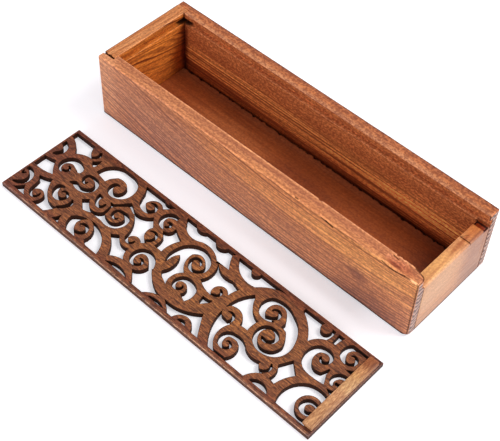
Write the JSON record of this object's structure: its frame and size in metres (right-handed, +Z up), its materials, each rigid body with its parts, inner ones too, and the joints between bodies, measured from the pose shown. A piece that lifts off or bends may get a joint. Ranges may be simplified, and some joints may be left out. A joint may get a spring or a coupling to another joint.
{
  "type": "pencil box",
  "caption": "Long open wooden pencil box with grooved side boards, and a thin scroll-fretwork slide lid with a pull batten, drawn out and laid beside it.",
  "frame": {"origin": "middle of the box's underside", "axes": "+X along the box to the low near end that the lid passes over, +Y to the back, away from the lid on the table, +Z up"},
  "size_m": [0.222, 0.1404, 0.0435],
  "materials": {
    "side_wood": "satin oiled",
    "end_wood": "satin oiled",
    "floor_wood": "satin oiled",
    "lid_walnut": "matt, with scorched cut edges",
    "batten_wood": "satin"
  },
  "bodies": {
    "box": {"front_side_board": "side_wood", "back_side_board": "side_wood", "far_end_board": "end_wood", "near_end_board": "end_wood", "bottom_panel": "floor_wood"},
    "lid": {"lid_fretwork_panel": "lid_walnut", "lid_pull_batten": "batten_wood"}
  },
  "joints": [
    {"name": "lid_lift", "type": "slide", "parent": "box", "child": "lid", "axis": [0, 0, 1], "range_m": [0, 0.08]}
  ]
}
